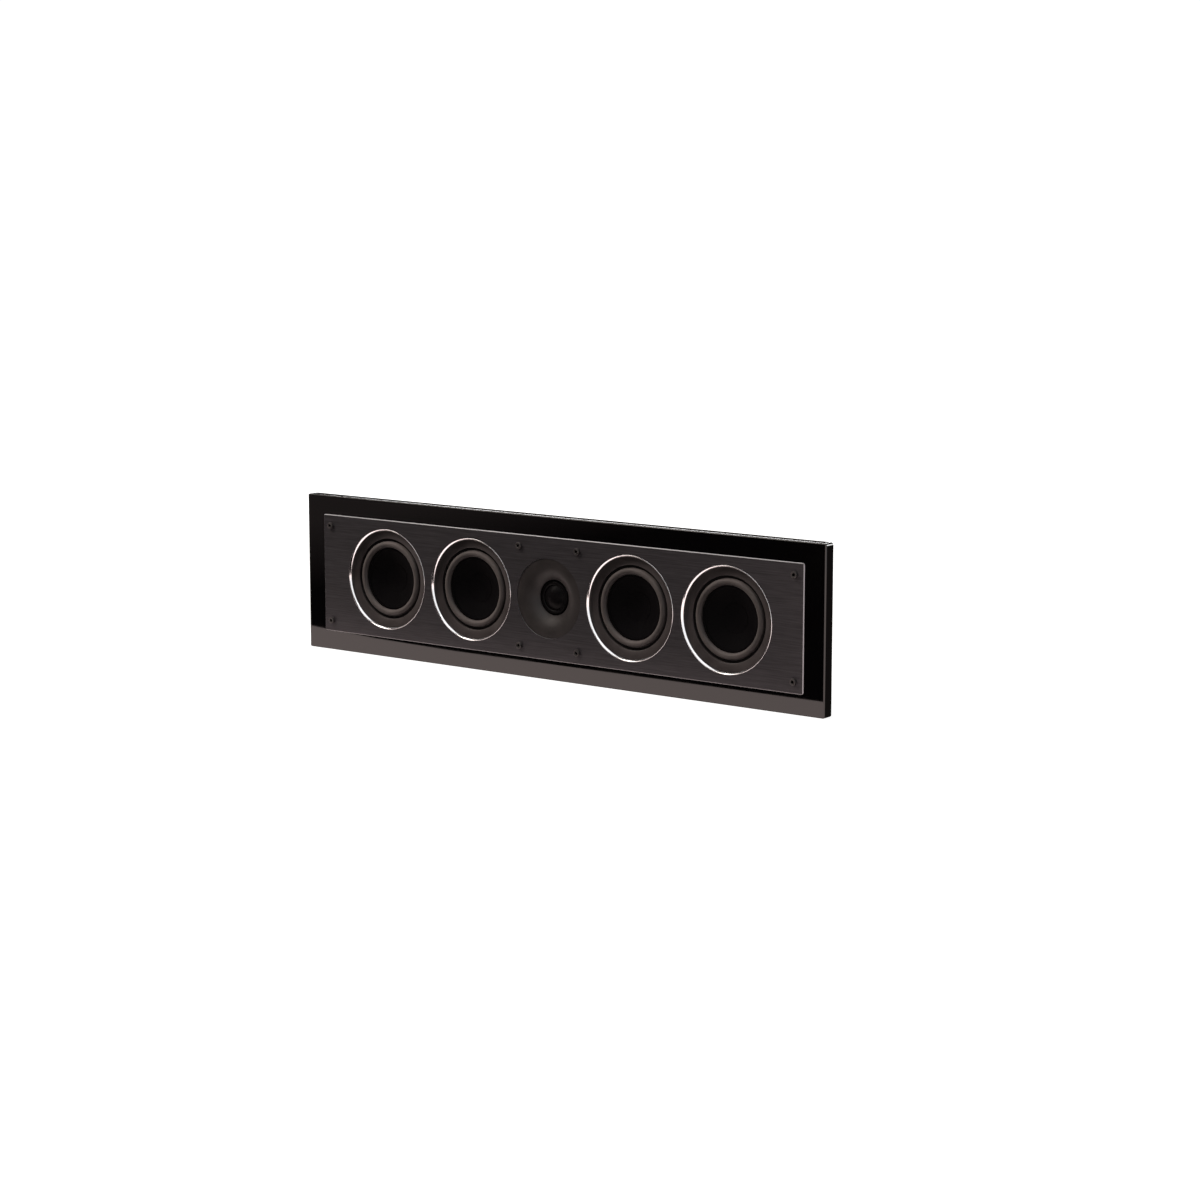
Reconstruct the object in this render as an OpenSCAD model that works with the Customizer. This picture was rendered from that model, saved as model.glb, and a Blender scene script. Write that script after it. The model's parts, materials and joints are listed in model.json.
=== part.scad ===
// On-wall loudspeaker: four woofers and a horn-loaded dome tweeter behind a brushed plate,
// set in a gloss board with a shallow cabinet behind it.
// X runs to the right seen from the front, +Y points into the wall and +Z is up.
// The origin is the middle of the cabinet's back face, which lies on the wall.
// Every piece is drawn lying down, with its depth as the distance out from the wall,
// and upright() stands it up.

/* [Front board] */
// Width of the gloss board
board_w = 714; // [700:1:760]
// Height of the gloss board
board_h = 180; // [172:1:210]
// Thickness of the gloss board
board_t = 13; // [12:0.5:18]
// Radius of the board's four corners
board_corner_r = 3; // [2.5:0.5:8]
// Rounding of the board's front edges
board_edge_r = 1.6; // [0.8:0.2:2.2]

/* [Brushed plate] */
// Width of the brushed plate
plate_w = 663; // [655:1:680]
// Height of the brushed plate
plate_h = 136; // [130:1:150]
// Thickness of the brushed plate
plate_t = 3; // [2.4:0.2:4]
// How far the plate stands out of the board
plate_proud = 1.2; // [0.6:0.1:1.8]
// Radius of the plate's corners
plate_corner_r = 2.5; // [2:0.5:5]
// Chamfer round the plate's front
plate_chamfer = 0.8; // [0.4:0.1:1]

/* [Cabinet] */
// Width of the cabinet behind the board
cabinet_w = 660; // [656:1:680]
// Height of the cabinet
cabinet_h = 156; // [154:1:166]
// Depth of the cabinet, up to its gasket
cabinet_d = 35.5; // [35:0.5:45]
// Wall of the cabinet
cabinet_wall = 3; // [2.5:0.5:4]
// Radius of the cabinet's corners
cabinet_corner_r = 12; // [9:1:16]
// Rounding of the cabinet's back edges
cabinet_edge_r = 3.5; // [2:0.5:5]
// Thickness of the foam gasket under the board
gasket_t = 1.5; // [1:0.5:3]
// Width of the foam gasket
gasket_w = 9; // [7:0.5:10]
// Thickness of the cabinet's inner ribs
rib_t = 3; // [2:0.5:4]

/* [Woofers] */
// Distance from the middle to the inner woofers
woofer_inner_x = 110.1; // [108:0.1:112]
// Distance from the middle to the outer woofers
woofer_outer_x = 235.3; // [232:0.1:245]
// Outer radius of the chrome ring
chrome_r = 57.5; // [56.5:0.1:58.5]
// Width of the chrome ring's slope, seen from the front
chrome_w = 2.2; // [1.6:0.1:2.8]
// How deep the chrome ring slopes in
chrome_fall = 3; // [2:0.2:3.6]
// Inner radius of the dished trim ring
trim_r = 46.1; // [45:0.1:47]
// How deep the trim ring dishes
trim_fall = 3.2; // [2.4:0.1:3.2]
// Wall of the trim ring
trim_wall = 1.3; // [1:0.1:1.5]
// Depth of the woofer's seat below the board's face
woofer_seat = 8; // [7.6:0.2:8.4]
// Thickness of the basket's flange
flange_t = 2.5; // [2:0.1:3]
// Middle radius of the rubber roll
roll_r = 39; // [38:0.1:40]
// Section radius of the rubber roll
roll_section_r = 4; // [3:0.1:4.2]
// Thickness of the rubber surround
rubber_t = 0.8; // [0.6:0.1:1]
// Wall of the cone and its cap
cone_wall = 0.7; // [0.4:0.1:1]
// How deep the cone is, from rim to neck
cone_depth = 11; // [8:0.5:12]
// Radius of the voice coil's former
coil_r = 12.5; // [11:0.5:14]
// How far the dust cap dips
cap_dip = 2.6; // [1.5:0.1:4]
// Radius of the ring magnet
magnet_r = 31.5; // [30:0.5:34]
// Thickness of the ring magnet
magnet_t = 8; // [6:0.5:9]
// Thickness of the top plate and of the back plate
pole_plate_t = 3; // [2.5:0.5:4]
// Windows in the basket
basket_windows = 6; // [4:1:8]
// Width of the ribs between the windows
basket_rib_w = 7; // [5:0.5:10]
// Radius of the bolt circle of the woofer's screws
woofer_bolt_r = 52.8; // [52:0.1:54]

/* [Tweeter] */
// Outer radius of the waveguide
guide_r = 43.9; // [42:0.1:46]
// Radius of the waveguide's throat
throat_r = 19.8; // [19.4:0.1:21]
// Depth of the waveguide, from rim to throat
guide_depth = 10.4; // [9:0.2:12]
// How steeply the waveguide curls in at its throat
guide_curl = 2.2; // [1.6:0.1:3]
// Wall of the waveguide
guide_wall = 2; // [1.4:0.1:2.4]
// Radius of the dome
dome_r = 14; // [12.5:0.5:14.5]
// Height of the dome
dome_h = 5.2; // [4:0.2:6.5]
// Radius of the tweeter's steel pot
pot_r = 22; // [20:0.5:23]

/* [Grille sockets] */
// Distance between the outer sockets, side to side
socket_outer_span = 640; // [634:1:646]
// Distance between the inner sockets, side to side
socket_inner_span = 80.4; // [76:0.2:90]
// Distance between the sockets, up and down
socket_rise = 110.6; // [106:0.2:116]
// Radius of a socket's collar
socket_r = 3.2; // [2.8:0.1:4]
// Radius of the hole for the grille's peg
peg_r = 1.8; // [1.4:0.1:2]
// How far a socket stands out of the plate
socket_proud = 2.8; // [2:0.2:4]
// Depth of the peg's hole below the plate's face
peg_depth = 9; // [7:0.5:10]

/* [Terminals] */
// Width of the terminal recess
recess_w = 60; // [56:1:70]
// Height of the terminal recess
recess_h = 32; // [30:1:36]
// Height of the recess's middle above the cabinet's lower edge
recess_rise = 29; // [28:0.5:31]
// Wall of the terminal cup
cup_wall = 2; // [1.6:0.2:2.4]
// Distance between the two binding posts
post_span = 19; // [19:0.5:24]
// Radius of a post's stud
stud_r = 3; // [2.6:0.1:3.2]
// Radius of the hole for a banana plug in the stud's end
plug_r = 2; // [1.6:0.1:2]
// Depth of the hole for a banana plug
plug_depth = 9; // [7:0.5:9]
// Radius of a post's cap
cap_r = 6.6; // [6:0.1:7]
// Length of a post's cap
cap_len = 11; // [9:0.5:11.5]
// How far a cap backs off when it is unscrewed
cap_travel = 4; // [3:0.5:4]
// Grooves in a cap's grip
cap_grooves = 12; // [8:1:14]

/* [Wall fixings] */
// Distance of each hanging plate and insert from the middle
hanger_x = 172.5; // [171:0.5:174]
// How far the hanging plates' middle lies below the cabinet's upper edge
hanger_drop = 42; // [40:1:46]
// Radius of the keyhole's round end
keyhole_r = 5; // [4.5:0.5:6]
// Radius of the keyhole's slot
keyslot_r = 2.6; // [2.2:0.1:3.2]
// Height of the keyhole's slot above its round end
keyslot_rise = 10; // [8:0.5:12]
// Radius of the thread in a bracket insert
insert_r = 2.5; // [2:0.1:3]
// Height of the bracket inserts above the cabinet's lower edge
insert_rise = 38; // [34:1:42]
// Radius of a wall pad
pad_r = 11; // [8:0.5:13]
// How far a wall pad stands off the cabinet
pad_proud = 1; // [0.5:0.25:1.5]

/* [Hidden] */
$fn = 64;

slip = 0.15;            // clearance where a piece drops into another
close = 0.05;           // clearance of a screw or a stud in its hole
far_out = 1;            // how far a cutter reaches past the face that it cuts

// Depths, measured out from the wall
board_back = cabinet_d + gasket_t;
board_face = board_back + board_t;
plate_face = board_face + plate_proud;
plate_back = plate_face - plate_t;
flange_back = board_face - woofer_seat;
flange_face = flange_back + flange_t;
chrome_toe = plate_face - chrome_fall;
trim_toe = chrome_toe - trim_fall;
ledge_drop = 2.1;                              // step in the flange that holds the surround
ledge_face = flange_face - ledge_drop;
rubber_face = ledge_face + rubber_t;
rim_face = rubber_face;                        // rim of the cone
neck_face = rim_face - cone_depth;
motor_face = 23.5;                             // front of the woofer's top plate
magnet_face = motor_face - pole_plate_t;
magnet_back = magnet_face - magnet_t;
motor_back = magnet_back - pole_plate_t;
spider_face = 28.6;                            // front of the woofer's spider

// Radii of the woofer
chrome_toe_r = chrome_r - chrome_w;
basket_r = 49;                                 // drum of the basket, inside the board's hole
roll_out_r = roll_r + roll_section_r;
roll_in_r = roll_r - roll_section_r;
cone_r = roll_in_r - 0.1;
lip_w = 1.9;                                   // inner lip of the rubber, glued under the cone's rim
former_wall = 0.4;
winding_t = 0.6;
winding_len = 8;
gap_r = coil_r + former_wall + winding_t + 0.4;
spider_r = 31;
spider_ledge_w = 3;
spider_t = 0.6;
spider_wave = 0.8;
spider_pitch = 4.2;
pole_r = coil_r - 0.5;
motor_seat_r = 30;                             // radius of the top plate, under the basket
vent_r = 4;

// Tweeter
guide_rim_t = 3.2;                             // thickness of the waveguide's rim
guide_sink = 0.6;                              // how far its rim lies below the plate's face
guide_face = plate_face - guide_sink;
guide_back = guide_face - guide_rim_t;
guide_seat_w = 5.5;                            // width of the seat in the board
throat_face = guide_face - guide_depth;
dome_seat = throat_face - guide_wall / 2;      // face on which the dome's flange lies
dome_wall = 0.4;
dome_roll_r = 2.2;
dome_flange_r = 22.6;
tweeter_plate_r = 30;
tweeter_plate_t = 4;
tweeter_bolt_r = 26.4;
tweeter_plate_face = dome_seat - dome_wall;
pot_face = tweeter_plate_face - tweeter_plate_t;
pot_len = 14;
pot_wall = 5.4;
tweeter_gap_r = dome_r + 0.9;
slug_r = dome_r - 1.4;

// Screws
wood_screw_r = 1.75;
wood_head_r = 3.4;
cabinet_screw_y = cabinet_h / 2 - 7;
gasket_hole_r = 8;                             // corner radius of the gasket's opening
cabinet_screw_xs = [55, hanger_x, cabinet_w / 2 - 8];
boss_r = 5.6;
well_r = 3.9;
well_floor = 25;
cabinet_screw_len = 20;
woofer_head_t = 1.6;
tweeter_head_t = 1.6;
tweeter_screw_len = 6.6;
small_screw_r = 1.3;
small_head_r = 2.4;
flat_head_t = 1.1;

// Terminal cup, crossover and hanging plates
cup_flange = 5;                                // flange above and below the recess
cup_flange_side = 8;                           // flange beside the recess, wide enough for its screws
cup_flange_t = 2;
cup_screw_x = recess_w / 2 + cup_wall + 2.8;
channel_w = 10;
channel_d = 7;
channel_wall = 2.5;
post_base_t = 2.5;
post_base_r = 7;
washer_r = 6;
washer_t = 1.2;
cap_spare = 0.3;                               // room in front of a cap that is backed off
cup_floor = post_base_t + washer_t + cap_len + cap_travel + cap_spare;
recess_y = recess_rise - cabinet_h / 2;
washer_back = cup_floor - post_base_t;
cap_back = washer_back - washer_t;
cap_tip = cap_back - cap_len;
stud_tip = cap_tip + 0.6;
stud_tail = 7;                                 // stud behind the cup's floor
nut_r = stud_r + 2.6;
nut_t = 3.2;
wire_hole_r = 1.1;
crossover_w = 98;
crossover_h = 38;
crossover_y = cabinet_h / 2 - cabinet_wall - crossover_h / 2 - 6;
crossover_z = 8;
crossover_t = 1.6;
crossover_inset = 4;
flat_coil = [13, 6.5, 9];                      // outer radius, inner radius and height
flat_coil_x = -26;
upright_coil = [8, 4, 8];
upright_coil_x = 30;
upright_coil_y = -2;
capacitor_r = 5;
capacitor_len = 24;
capacitor_x = 4;
capacitor_ys = [-11, 1, 12];
resistor_len = 12;
resistor_side = 6;
resistor_x = 41;
resistor_ys = [-5, 6];
hanger_y = cabinet_h / 2 - hanger_drop;
hanger_w = 24;
hanger_h = 50;
hanger_t = 2;
hanger_well_d = 9;
hanger_well_w = 17;
hanger_well_h = 34;
hanger_screw_y = hanger_h / 2 - 4;
insert_wall = 1.5;
insert_len = 10;
pad_x = 300;
pad_y = 56;
pad_sink = 1;
chamber_x = woofer_inner_x - basket_r - 2.1;   // walls of the tweeter's chamber
magnet_hole_r = gap_r + 5;
foam_gap = 0.3;
foam_room = cabinet_w / 2 - cabinet_wall - foam_gap - woofer_outer_x - magnet_r;
foam_w = 0.57 * foam_room;                     // beside the outer magnet
foam_h = cabinet_h - 38;
foam_t = 17;

woofer_xs = [-woofer_outer_x, -woofer_inner_x, woofer_inner_x, woofer_outer_x];

// Stands a piece up: depth out of the wall becomes -Y, and height becomes +Z
module upright() { rotate([90, 0, 0]) children(); }

module at_woofer(i) { translate([woofer_xs[i - 1], 0, 0]) children(); }

module all_woofers() { for (x = woofer_xs) translate([x, 0, 0]) children(); }

module on_circle(r, n, turn = 0) {
    for (i = [0 : n - 1]) rotate([0, 0, turn + i * 360 / n]) translate([r, 0, 0]) children();
}

module at_sockets() {
    for (x = [socket_outer_span, socket_inner_span], sx = [-1, 1], sy = [-1, 1])
        translate([sx * x / 2, sy * socket_rise / 2, 0]) children();
}

module at_cabinet_screws() {
    for (x = cabinet_screw_xs, sx = [-1, 1], sy = [-1, 1])
        translate([sx * x, sy * cabinet_screw_y, 0]) children();
}

module at_pads() {
    for (sx = [-1, 1], sy = [-1, 1]) translate([sx * pad_x, sy * pad_y, 0]) children();
}

module at_posts() { for (s = [-1, 1]) translate([s * post_span / 2, recess_y, 0]) children(); }

module at_hangers() { for (s = [-1, 1]) translate([s * hanger_x, hanger_y, 0]) children(); }

module at_inserts() {
    for (s = [-1, 1]) translate([s * hanger_x, insert_rise - cabinet_h / 2, 0]) children();
}

module at_crossover_corners() {
    for (sx = [-1, 1], sy = [-1, 1])
        translate([sx * (crossover_w / 2 - crossover_inset),
                   crossover_y + sy * (crossover_h / 2 - crossover_inset), 0]) children();
}

// Rectangle with round corners, made of true arcs
module round_rect(w, h, r) {
    square([w - 2 * r, h], center = true);
    square([w, h - 2 * r], center = true);
    for (sx = [-1, 1], sy = [-1, 1]) translate([sx * (w / 2 - r), sy * (h / 2 - r)]) circle(r);
}

// Half-open outline whose two corners on the far side are rounded
module rounded_side(w, t, r) {
    translate([-w / 2, 0]) square([w, t - r]);
    translate([-w / 2 + r, 0]) square([w - 2 * r, t]);
    for (s = [-1, 1]) translate([s * (w / 2 - r), t - r]) circle(r);
}

// Half-open outline whose two corners on the far side are cut off
module chamfered_side(w, t, c) {
    polygon([[-w / 2, 0], [w / 2, 0], [w / 2, t - c], [w / 2 - c, t], [c - w / 2, t], [-w / 2, t - c]]);
}

// Extrudes a side outline along X or along Y, with its depth kept along Z
module along_x(len) { rotate([90, 0, 90]) linear_extrude(len, center = true) children(); }

module along_y(len) { rotate([90, 0, 0]) linear_extrude(len, center = true) children(); }

// Slab with round corners and a rounded far face
module soft_slab(w, h, t, corner_r, edge_r) {
    intersection() {
        linear_extrude(t) round_rect(w, h, corner_r);
        along_x(w + 2 * far_out) rounded_side(h, t, edge_r);
        along_y(h + 2 * far_out) rounded_side(w, t, edge_r);
    }
}

// Slab with round corners and a chamfered far face
module bevelled_slab(w, h, t, corner_r, chamfer) {
    intersection() {
        linear_extrude(t) round_rect(w, h, corner_r);
        along_x(w + 2 * far_out) chamfered_side(h, t, chamfer);
        along_y(h + 2 * far_out) chamfered_side(w, t, chamfer);
    }
}

// Bore from one depth to another
module bore(r, from, to) { translate([0, 0, from]) cylinder(r = r, h = to - from); }

// Ring between two radii, from one depth to another
module ring(r_out, r_in, from, to) {
    rotate_extrude() translate([r_in, from]) square([r_out - r_in, to - from]);
}

// Screw with a flat head: shank down from the head's seat towards the board
module pan_screw(r, head_r, head_t, seat, len) {
    rotate_extrude()
        polygon([[0, seat - head_t], [head_r * 0.7, seat - head_t], [head_r, seat - head_t * 0.45],
                 [head_r, seat], [r, seat], [r, seat + len - r], [0, seat + len]]);
}

// Countersunk screw whose head lies flush with the cabinet's back
module flat_screw(len) {
    rotate_extrude()
        polygon([[0, 0], [small_head_r, 0], [small_screw_r, flat_head_t], [small_screw_r, len - small_screw_r],
                 [0, len]]);
}

module flat_screw_hole() {
    bore(small_screw_r + close, -far_out, 3 * flat_head_t);
    cylinder(r1 = small_head_r + close, r2 = small_screw_r + close, h = flat_head_t);
    bore(small_head_r + close, -far_out, 0);
}

module front_board() {
    color("#080709") upright() difference() {
        translate([0, 0, board_back])
            soft_slab(board_w, board_h, board_t, board_corner_r, board_edge_r);
        translate([0, 0, plate_back])
            linear_extrude(plate_t)
                round_rect(plate_w + 2 * slip, plate_h + 2 * slip, plate_corner_r + slip);
        all_woofers() {
            bore(basket_r + slip, board_back - far_out, board_face);
            bore(chrome_r + slip, flange_back, board_face);
            on_circle(woofer_bolt_r, 4, 45) bore(wood_screw_r + close, board_back - far_out, board_face);
        }
        bore(guide_r - guide_seat_w, board_back - far_out, board_face);
        bore(guide_r + slip, guide_back, board_face);
        at_sockets() bore(peg_r + 0.8 + close, plate_face - peg_depth - 1, board_face);
        at_cabinet_screws()
            bore(wood_screw_r + close, board_back - far_out, well_floor + cabinet_screw_len + close);
    }
}

module brushed_plate() {
    color("#3a3534") upright() difference() {
        translate([0, 0, plate_back])
            bevelled_slab(plate_w, plate_h, plate_t, plate_corner_r, plate_chamfer);
        all_woofers() bore(chrome_r + slip, plate_back - far_out, plate_face + far_out);
        bore(guide_r + slip, plate_back - far_out, plate_face + far_out);
        at_sockets() bore(peg_r + 0.8 + close, plate_back - far_out, plate_face + far_out);
    }
}

module grille_sockets() {
    color("#1c1a1b") upright() at_sockets() rotate_extrude() difference() {
        union() {
            translate([0, plate_face - peg_depth - 0.8]) square([peg_r + 0.8, peg_depth + 1]);
            translate([0, plate_face]) square([socket_r, socket_proud - 0.8]);
            translate([0, plate_face]) square([socket_r - 0.8, socket_proud]);
            translate([socket_r - 0.8, plate_face + socket_proud - 0.8]) circle(0.8);
        }
        translate([0, plate_face - peg_depth])
            square([peg_r, peg_depth + socket_proud + far_out]);
        translate([0, plate_face + socket_proud])
            polygon([[0, -peg_r - 0.5], [peg_r + 0.5, 0], [0, 1]]);
    }
}

module terminal_opening(grow) { round_rect(recess_w + 2 * grow, recess_h + 2 * grow, 3 + grow); }

module cup_flange_outline(grow) {
    round_rect(recess_w + 2 * (cup_flange_side + grow), recess_h + 2 * (cup_flange + grow), 5);
}

module at_cup_screws() { for (s = [-1, 1]) translate([s * cup_screw_x, recess_y, 0]) children(); }

module rear_cabinet() {
    inside_w = cabinet_w - 2 * cabinet_wall;
    inside_h = cabinet_h - 2 * cabinet_wall;
    cup_clear = cup_wall + slip;
    channel_low = -cabinet_h / 2;
    channel_high = recess_y - recess_h / 2;
    color("#151416") upright() difference() {
        union() {
            difference() {
                translate([0, 0, cabinet_d]) mirror([0, 0, 1])
                    soft_slab(cabinet_w, cabinet_h, cabinet_d, cabinet_corner_r, cabinet_edge_r);
                translate([0, 0, cabinet_wall]) linear_extrude(cabinet_d)
                    round_rect(inside_w, inside_h, cabinet_corner_r - cabinet_wall);
            }
            at_cabinet_screws() bore(boss_r, cabinet_wall / 2, cabinet_d);
            for (s = [-1, 1]) {
                // full walls either side of the tweeter's chamber
                translate([s * chamber_x - rib_t / 2, -inside_h / 2 - 1, cabinet_wall / 2])
                    cube([rib_t, inside_h + 2, cabinet_d - cabinet_wall / 2]);
                // low ribs between the woofers and along the back
                translate([s * hanger_x - rib_t / 2, -inside_h / 2 - 1, cabinet_wall / 2])
                    cube([rib_t, inside_h + 2, 12]);
                for (y = [-1, 1]) translate([s * cabinet_w / 4, y * 40, cabinet_wall / 2 + 2.5])
                    cube([cabinet_w / 2 - 2 * chamber_x, rib_t, 5], center = true);
            }
            at_hangers() translate([0, 0, (hanger_t + hanger_well_d + channel_wall) / 2])
                cube([hanger_well_w + 2 * channel_wall, hanger_well_h + 2 * channel_wall,
                      hanger_t + hanger_well_d + channel_wall], center = true);
            at_hangers() for (s = [-1, 1]) translate([0, s * hanger_screw_y, 0])
                bore(small_screw_r + 2.2, cabinet_wall / 2, hanger_t + 8);
            at_inserts() bore(insert_r + insert_wall + 2.5, cabinet_wall / 2, insert_len + 2.5);
            at_crossover_corners() bore(3.2, cabinet_wall / 2, crossover_z);
            translate([-channel_w / 2 - channel_wall, channel_low + cabinet_wall / 2, cabinet_wall / 2])
                cube([channel_w + 2 * channel_wall, channel_high - channel_low - cup_clear - cabinet_wall / 2,
                      channel_d + channel_wall - cabinet_wall / 2]);
            at_cup_screws() bore(small_screw_r + 2.2, cabinet_wall / 2, 12);
        }
        // seats and openings cut from the back
        at_cabinet_screws() {
            bore(well_r, -far_out, well_floor);
            bore(wood_screw_r + close, well_floor - far_out, cabinet_d + far_out);
        }
        translate([0, recess_y, -far_out]) linear_extrude(cabinet_wall + 12 + far_out)
            terminal_opening(cup_clear);
        translate([0, recess_y, -far_out]) linear_extrude(cup_flange_t + far_out)
            cup_flange_outline(slip);
        at_cup_screws() bore(small_screw_r + close, -far_out, 11);
        translate([-channel_w / 2, channel_low - far_out, -far_out])
            cube([channel_w, channel_high - channel_low + far_out, channel_d + far_out]);
        at_hangers() {
            translate([0, 0, (hanger_t - far_out) / 2])
                cube([hanger_w + 2 * slip, hanger_h + 2 * slip, hanger_t + far_out], center = true);
            translate([0, 0, (hanger_t + hanger_well_d) / 2])
                cube([hanger_well_w, hanger_well_h, hanger_t + hanger_well_d], center = true);
            for (s = [-1, 1]) translate([0, s * hanger_screw_y, 0])
                bore(small_screw_r + close, -far_out, hanger_t + 7);
        }
        at_inserts() bore(insert_r + insert_wall + close, -far_out, insert_len);
        at_crossover_corners() bore(small_screw_r + close, crossover_z - 4.5, crossover_z + far_out);
        at_pads() bore(pad_r + slip, -far_out, pad_sink);
    }
}

module cabinet_gasket() {
    color("#2b2b2d") upright() difference() {
        translate([0, 0, cabinet_d]) linear_extrude(gasket_t)
            round_rect(cabinet_w - 1, cabinet_h - 1, cabinet_corner_r - 0.5);
        translate([0, 0, cabinet_d - far_out]) linear_extrude(gasket_t + 2 * far_out)
            round_rect(cabinet_w - 1 - 2 * gasket_w, cabinet_h - 1 - 2 * gasket_w,
                       gasket_hole_r);
        at_cabinet_screws() bore(wood_screw_r + close, cabinet_d - far_out, board_back + far_out);
    }
}

// Bevelled ring that slopes in from the plate's face
module chrome_ring() {
    color("#d9d9dc") rotate_extrude()
        polygon([[chrome_r - 0.5, plate_face + 0.3], [chrome_r, plate_face], [chrome_r, flange_face],
                 [chrome_r - 1.3, flange_face], [chrome_r - 1.3, chrome_toe - trim_wall],
                 [chrome_toe_r, chrome_toe - trim_wall], [chrome_toe_r, chrome_toe],
                 [chrome_toe_r + 0.3, chrome_toe + 0.2]]);
}

// Dished ring from the chrome ring down to the rubber, with a small bevel at its inner edge
module trim_ring() {
    outer = chrome_toe_r - close;
    bevel = 1.1;
    foot = rubber_face + close;
    color("#353132") rotate_extrude()
        polygon([[outer, chrome_toe - 0.2], [trim_r + bevel, trim_toe + bevel], [trim_r, trim_toe + bevel / 3],
                 [trim_r, foot], [trim_r + trim_wall, foot],
                 [trim_r + trim_wall, trim_toe + bevel - trim_wall], [outer, chrome_toe - 0.2 - trim_wall]]);
}

// Rubber half roll with its outer flange on the basket and its inner lip under the cone's rim
module surround() {
    outer = basket_r - slip;
    color("#3b3736") rotate_extrude() {
        translate([roll_out_r - rubber_t, ledge_face]) square([outer - roll_out_r + rubber_t, rubber_t]);
        intersection() {
            translate([roll_r, rubber_face]) difference() {
                circle(roll_section_r);
                circle(roll_section_r - rubber_t);
            }
            translate([0, rubber_face]) square([basket_r, 2 * roll_section_r]);
        }
        translate([roll_in_r, rubber_face - 2 * rubber_t]) square([rubber_t, 2 * rubber_t]);
        translate([roll_in_r - lip_w, rubber_face - 2 * rubber_t]) square([lip_w + 0.2, rubber_t]);
    }
}

// Depth of the cone's front at a radius: straight, with a slight flare to the rim
function cone_z(r) = let (s = (r - coil_r) / (cone_r - coil_r))
    neck_face + cone_depth * (0.85 * s + 0.15 * s * s);

module cone() {
    steps = 10;
    rs = [for (i = [0 : steps]) coil_r + 0.3 + (cone_r - 2.6 - coil_r - 0.3) * i / steps];
    color("#0b0a0b") rotate_extrude()
        polygon(concat([for (r = rs) [r, cone_z(r)]],
                       [[cone_r - 2.2, rim_face], [cone_r, rim_face],
                        [cone_r, rim_face - cone_wall], [cone_r - 2, rim_face - cone_wall]],
                       [for (i = [steps : -1 : 0]) [rs[i] + cone_wall * 0.6, cone_z(rs[i]) - cone_wall]]));
}

// Cap that dips inwards, glued to the cone just above its neck
module dust_cap() {
    r = coil_r + 3.5;
    sphere_r = (r * r + cap_dip * cap_dip) / (2 * cap_dip);
    rim_z = cone_z(r) + 0.35;
    color("#0d0c0d") rotate_extrude() intersection() {
        translate([0, rim_z - cap_dip + sphere_r]) difference() {
            circle(sphere_r + cone_wall / 2);
            circle(sphere_r);
        }
        translate([0, rim_z - 2 * cap_dip]) square([r - 0.5, 2 * cap_dip]);
    }
}

// Cast basket: flange, open drum with windows, ledge for the spider and seat for the motor
module basket() {
    wall = 2;
    hub_r = motor_seat_r;
    seat_in_r = hub_r - 9;
    ledge_r = spider_r + slip;
    color("#1a1a1c") difference() {
        rotate_extrude()
            polygon([[chrome_r - slip, flange_back], [chrome_r - slip, flange_face], [basket_r, flange_face],
                     [basket_r, ledge_face], [roll_out_r + 0.8, ledge_face], [roll_out_r + 0.8, flange_back - 2],
                     [ledge_r, spider_face - 0.5], [ledge_r, spider_face - spider_t - spider_wave],
                     [ledge_r - spider_ledge_w, spider_face - spider_t - spider_wave],
                     [ledge_r - spider_ledge_w, motor_face + 1.5],
                     [seat_in_r, motor_face + 1.5], [seat_in_r, motor_face],
                     [hub_r, motor_face], [ledge_r + wall, spider_face - 3],
                     [roll_out_r + 0.8 + wall, flange_back - 3], [basket_r - slip, flange_back - 1],
                     [basket_r - slip, flange_back]]);
        for (i = [0 : basket_windows - 1]) rotate([0, 0, i * 360 / basket_windows])
            linear_extrude_between(spider_face + 0.8, flange_back - 3.2) window_outline();
        on_circle(woofer_bolt_r, 4, 45) {
            bore(wood_screw_r + close, flange_back - far_out, flange_face);
            translate([0, 0, flange_face - woofer_head_t - close])
                cylinder(r1 = wood_screw_r + close, r2 = wood_head_r + close, h = woofer_head_t + close);
            bore(wood_head_r + close, flange_face - close, flange_face + far_out);
        }
    }
}

// Wedge that leaves a rib of even width between two windows
module window_outline() {
    half = 180 / basket_windows;
    shift = basket_rib_w / 2 / sin(half);
    reach = 1.4 * chrome_r;
    translate([shift, 0])
        polygon([[0, 0], [reach * cos(half), -reach * sin(half)], [reach * cos(half), reach * sin(half)]]);
}

module linear_extrude_between(from, to) { translate([0, 0, from]) linear_extrude(to - from) children(); }

// Former with the winding round its back end
module voice_coil() {
    top = neck_face + cone_wall;
    back = magnet_back + 2;
    ring(coil_r + former_wall, coil_r, back, top - 1.2);
    ring(coil_r + former_wall + winding_t, coil_r + former_wall, back, back + winding_len);
}

function spider_mid(r) = spider_face - spider_wave - spider_t / 2
    + spider_wave * sin(360 * (r - coil_r) / spider_pitch);

// Corrugated disc that centres the coil
module spider() {
    inner = coil_r + former_wall + close;
    outer = spider_r;
    steps = 44;
    rs = [for (i = [0 : steps]) inner + (outer - spider_ledge_w - 0.4 - inner) * i / steps];
    rotate_extrude()
        polygon(concat([for (r = rs) [r, spider_mid(r) + spider_t / 2]],
                       [[outer - spider_ledge_w, spider_face - spider_wave],
                        [outer, spider_face - spider_wave],
                        [outer, spider_face - spider_wave - spider_t],
                        [outer - spider_ledge_w, spider_face - spider_wave - spider_t]],
                       [for (i = [steps : -1 : 0]) [rs[i], spider_mid(rs[i]) - spider_t / 2]]));
}

// Steel back plate with the pole that stands inside the coil
module pole_plate() {
    rotate_extrude()
        polygon([[vent_r, motor_back], [magnet_r - 1.5, motor_back], [magnet_r - 1.5, magnet_back],
                 [pole_r, magnet_back], [pole_r, motor_face], [vent_r, motor_face]]);
}

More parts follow.
